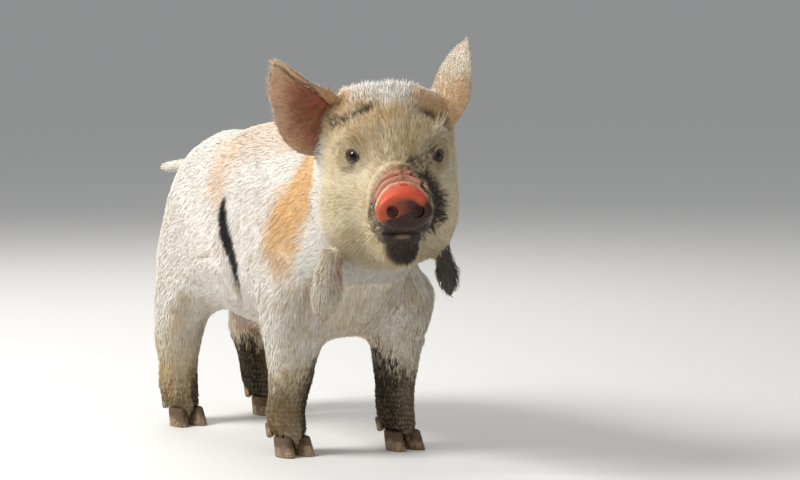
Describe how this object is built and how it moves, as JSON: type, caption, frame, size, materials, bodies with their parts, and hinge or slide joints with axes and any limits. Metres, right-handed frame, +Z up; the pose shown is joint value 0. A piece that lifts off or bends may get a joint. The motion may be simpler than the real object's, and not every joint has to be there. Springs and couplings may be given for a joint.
{
  "type": "kunekune piglet",
  "caption": "Young kunekune pig, life size, standing square with its head turned to the viewer, ears up and a tassel under each side of the jaw; a still model.",
  "frame": {"origin": "on the floor under the middle of the model's outline", "axes": "+Z up, -Y the way the body faces, +X to the animal's own left"},
  "size_m": [0.1796, 0.4928, 0.338],
  "materials": {
    "coat": "short cream hair with ginger and black patches, muddy below",
    "ear": "thin pink skin under pale hair",
    "snout": "bare moist pink skin, muddy round the edge",
    "eye": "wet gloss",
    "hoof": "dull horn, muddy"
  },
  "bodies": {
    "root": {"trunk": "coat", "neck": "coat", "head": "coat", "jaw": "coat", "tail": "coat", "tassel_right": "coat", "tassel_left": "coat", "foreleg_right": "coat", "foreleg_left": "coat", "hindleg_right": "coat", "hindleg_left": "coat", "ear_right": "ear", "ear_left": "ear", "snout": "snout", "eye_right": "eye", "eye_left": "eye", "hoof_foreleg_right_right": "hoof", "dewclaw_foreleg_right_right": "hoof", "hoof_foreleg_right_left": "hoof", "dewclaw_foreleg_right_left": "hoof", "hoof_foreleg_left_right": "hoof", "dewclaw_foreleg_left_right": "hoof", "hoof_foreleg_left_left": "hoof", "dewclaw_foreleg_left_left": "hoof", "hoof_hindleg_right_right": "hoof", "dewclaw_hindleg_right_right": "hoof", "hoof_hindleg_right_left": "hoof", "dewclaw_hindleg_right_left": "hoof", "hoof_hindleg_left_right": "hoof", "dewclaw_hindleg_left_right": "hoof", "hoof_hindleg_left_left": "hoof", "dewclaw_hindleg_left_left": "hoof"}
  },
  "joints": []
}
